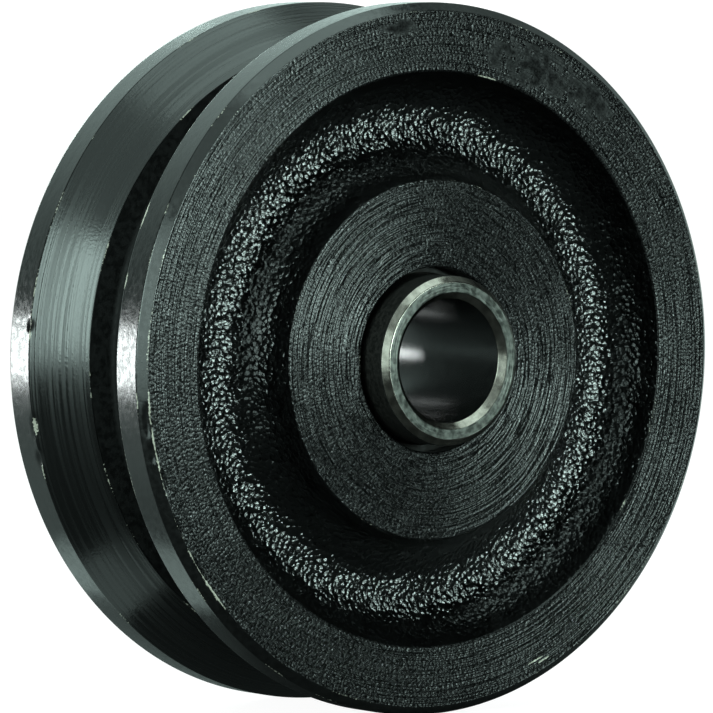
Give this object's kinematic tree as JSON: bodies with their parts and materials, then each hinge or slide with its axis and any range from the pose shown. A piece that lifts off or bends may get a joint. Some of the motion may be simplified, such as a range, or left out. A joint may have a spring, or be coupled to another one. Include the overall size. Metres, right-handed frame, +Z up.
{
  "type": "gate wheel",
  "caption": "V-groove gate wheel: black cast-iron rim and hub that turn on ball bearings around a bored steel axle sleeve.",
  "frame": {"origin": "centre of the wheel: on the axle axis, midway between the two rim faces", "axes": "+Y along the axle, out of the rear face with the retaining ring; -Y out of the front face with the hub's lip; +Z up; the rail runs along X under the wheel"},
  "size_m": [0.105, 0.0434, 0.105],
  "materials": {
    "black_casting": "black paint, satin on the machined faces and glossy over rough sand casting in the recesses",
    "sleeve_steel": "bare turned steel",
    "spring_steel": "phosphated dark",
    "spacer_steel": "turned",
    "shield_steel": "pressed sheet",
    "cage_steel": "pressed sheet",
    "ball_steel": "polished",
    "ring_steel": "ground"
  },
  "bodies": {
    "axle": {"axle_sleeve": "sleeve_steel", "front_inner_ring": "ring_steel", "rear_inner_ring": "ring_steel"},
    "wheel": {"wheel_casting": "black_casting", "bearing_spacer": "spacer_steel", "retaining_ring": "spring_steel", "front_outer_ring": "ring_steel", "front_inboard_shield": "shield_steel", "front_outboard_shield": "shield_steel", "rear_outer_ring": "ring_steel", "rear_inboard_shield": "shield_steel", "rear_outboard_shield": "shield_steel"},
    "front_cage": {"front_inboard_cage": "cage_steel", "front_outboard_cage": "cage_steel", "front_cage_rivets": "cage_steel"},
    "rear_cage": {"rear_inboard_cage": "cage_steel", "rear_outboard_cage": "cage_steel", "rear_cage_rivets": "cage_steel"},
    "front_ball_1": {"front_ball_1": "ball_steel"},
    "front_ball_2": {"front_ball_2": "ball_steel"},
    "front_ball_3": {"front_ball_3": "ball_steel"},
    "front_ball_4": {"front_ball_4": "ball_steel"},
    "front_ball_5": {"front_ball_5": "ball_steel"},
    "front_ball_6": {"front_ball_6": "ball_steel"},
    "front_ball_7": {"front_ball_7": "ball_steel"},
    "front_ball_8": {"front_ball_8": "ball_steel"},
    "front_ball_9": {"front_ball_9": "ball_steel"},
    "front_ball_10": {"front_ball_10": "ball_steel"},
    "rear_ball_1": {"rear_ball_1": "ball_steel"},
    "rear_ball_2": {"rear_ball_2": "ball_steel"},
    "rear_ball_3": {"rear_ball_3": "ball_steel"},
    "rear_ball_4": {"rear_ball_4": "ball_steel"},
    "rear_ball_5": {"rear_ball_5": "ball_steel"},
    "rear_ball_6": {"rear_ball_6": "ball_steel"},
    "rear_ball_7": {"rear_ball_7": "ball_steel"},
    "rear_ball_8": {"rear_ball_8": "ball_steel"},
    "rear_ball_9": {"rear_ball_9": "ball_steel"},
    "rear_ball_10": {"rear_ball_10": "ball_steel"}
  },
  "joints": [
    {"name": "wheel_spin", "type": "hinge", "parent": "axle", "child": "wheel", "pos_m": [0, 0, 0], "axis": [0, 1, 0], "continuous": true},
    {"name": "front_cage_orbit", "type": "hinge", "parent": "axle", "child": "front_cage", "pos_m": [0, -0.0095, 0], "axis": [0, 1, 0], "continuous": true},
    {"name": "rear_cage_orbit", "type": "hinge", "parent": "axle", "child": "rear_cage", "pos_m": [0, 0.00925, 0], "axis": [0, 1, 0], "continuous": true},
    {"name": "front_ball_1_roll", "type": "hinge", "parent": "front_cage", "child": "front_ball_1", "pos_m": [0.01355, -0.0095, -0.00985], "axis": [0, 1, 0], "continuous": true},
    {"name": "front_ball_2_roll", "type": "hinge", "parent": "front_cage", "child": "front_ball_2", "pos_m": [0.00518, -0.0095, -0.01593], "axis": [0, 1, 0], "continuous": true},
    {"name": "front_ball_3_roll", "type": "hinge", "parent": "front_cage", "child": "front_ball_3", "pos_m": [-0.00518, -0.0095, -0.01593], "axis": [0, 1, 0], "continuous": true},
    {"name": "front_ball_4_roll", "type": "hinge", "parent": "front_cage", "child": "front_ball_4", "pos_m": [-0.01355, -0.0095, -0.00985], "axis": [0, 1, 0], "continuous": true},
    {"name": "front_ball_5_roll", "type": "hinge", "parent": "front_cage", "child": "front_ball_5", "pos_m": [-0.01675, -0.0095, 0], "axis": [0, 1, 0], "continuous": true},
    {"name": "front_ball_6_roll", "type": "hinge", "parent": "front_cage", "child": "front_ball_6", "pos_m": [-0.01355, -0.0095, 0.00985], "axis": [0, 1, 0], "continuous": true},
    {"name": "front_ball_7_roll", "type": "hinge", "parent": "front_cage", "child": "front_ball_7", "pos_m": [-0.00518, -0.0095, 0.01593], "axis": [0, 1, 0], "continuous": true},
    {"name": "front_ball_8_roll", "type": "hinge", "parent": "front_cage", "child": "front_ball_8", "pos_m": [0.00518, -0.0095, 0.01593], "axis": [0, 1, 0], "continuous": true},
    {"name": "front_ball_9_roll", "type": "hinge", "parent": "front_cage", "child": "front_ball_9", "pos_m": [0.01355, -0.0095, 0.00985], "axis": [0, 1, 0], "continuous": true},
    {"name": "front_ball_10_roll", "type": "hinge", "parent": "front_cage", "child": "front_ball_10", "pos_m": [0.01675, -0.0095, 0], "axis": [0, 1, 0], "continuous": true},
    {"name": "rear_ball_1_roll", "type": "hinge", "parent": "rear_cage", "child": "rear_ball_1", "pos_m": [0.01355, 0.00925, -0.00985], "axis": [0, 1, 0], "continuous": true},
    {"name": "rear_ball_2_roll", "type": "hinge", "parent": "rear_cage", "child": "rear_ball_2", "pos_m": [0.00518, 0.00925, -0.01593], "axis": [0, 1, 0], "continuous": true},
    {"name": "rear_ball_3_roll", "type": "hinge", "parent": "rear_cage", "child": "rear_ball_3", "pos_m": [-0.00518, 0.00925, -0.01593], "axis": [0, 1, 0], "continuous": true},
    {"name": "rear_ball_4_roll", "type": "hinge", "parent": "rear_cage", "child": "rear_ball_4", "pos_m": [-0.01355, 0.00925, -0.00985], "axis": [0, 1, 0], "continuous": true},
    {"name": "rear_ball_5_roll", "type": "hinge", "parent": "rear_cage", "child": "rear_ball_5", "pos_m": [-0.01675, 0.00925, 0], "axis": [0, 1, 0], "continuous": true},
    {"name": "rear_ball_6_roll", "type": "hinge", "parent": "rear_cage", "child": "rear_ball_6", "pos_m": [-0.01355, 0.00925, 0.00985], "axis": [0, 1, 0], "continuous": true},
    {"name": "rear_ball_7_roll", "type": "hinge", "parent": "rear_cage", "child": "rear_ball_7", "pos_m": [-0.00518, 0.00925, 0.01593], "axis": [0, 1, 0], "continuous": true},
    {"name": "rear_ball_8_roll", "type": "hinge", "parent": "rear_cage", "child": "rear_ball_8", "pos_m": [0.00518, 0.00925, 0.01593], "axis": [0, 1, 0], "continuous": true},
    {"name": "rear_ball_9_roll", "type": "hinge", "parent": "rear_cage", "child": "rear_ball_9", "pos_m": [0.01355, 0.00925, 0.00985], "axis": [0, 1, 0], "continuous": true},
    {"name": "rear_ball_10_roll", "type": "hinge", "parent": "rear_cage", "child": "rear_ball_10", "pos_m": [0.01675, 0.00925, 0], "axis": [0, 1, 0], "continuous": true}
  ],
  "couplings": [
    {"joint": "front_cage_orbit", "follows": "wheel_spin", "ratio": 0.58246},
    {"joint": "rear_cage_orbit", "follows": "wheel_spin", "ratio": 0.58246},
    {"joint": "front_ball_1_roll", "follows": "wheel_spin", "ratio": 2.9492},
    {"joint": "front_ball_2_roll", "follows": "wheel_spin", "ratio": 2.9492},
    {"joint": "front_ball_3_roll", "follows": "wheel_spin", "ratio": 2.9492},
    {"joint": "front_ball_4_roll", "follows": "wheel_spin", "ratio": 2.9492},
    {"joint": "front_ball_5_roll", "follows": "wheel_spin", "ratio": 2.9492},
    {"joint": "front_ball_6_roll", "follows": "wheel_spin", "ratio": 2.9492},
    {"joint": "front_ball_7_roll", "follows": "wheel_spin", "ratio": 2.9492},
    {"joint": "front_ball_8_roll", "follows": "wheel_spin", "ratio": 2.9492},
    {"joint": "front_ball_9_roll", "follows": "wheel_spin", "ratio": 2.9492},
    {"joint": "front_ball_10_roll", "follows": "wheel_spin", "ratio": 2.9492},
    {"joint": "rear_ball_1_roll", "follows": "wheel_spin", "ratio": 2.9492},
    {"joint": "rear_ball_2_roll", "follows": "wheel_spin", "ratio": 2.9492},
    {"joint": "rear_ball_3_roll", "follows": "wheel_spin", "ratio": 2.9492},
    {"joint": "rear_ball_4_roll", "follows": "wheel_spin", "ratio": 2.9492},
    {"joint": "rear_ball_5_roll", "follows": "wheel_spin", "ratio": 2.9492},
    {"joint": "rear_ball_6_roll", "follows": "wheel_spin", "ratio": 2.9492},
    {"joint": "rear_ball_7_roll", "follows": "wheel_spin", "ratio": 2.9492},
    {"joint": "rear_ball_8_roll", "follows": "wheel_spin", "ratio": 2.9492},
    {"joint": "rear_ball_9_roll", "follows": "wheel_spin", "ratio": 2.9492},
    {"joint": "rear_ball_10_roll", "follows": "wheel_spin", "ratio": 2.9492}
  ]
}
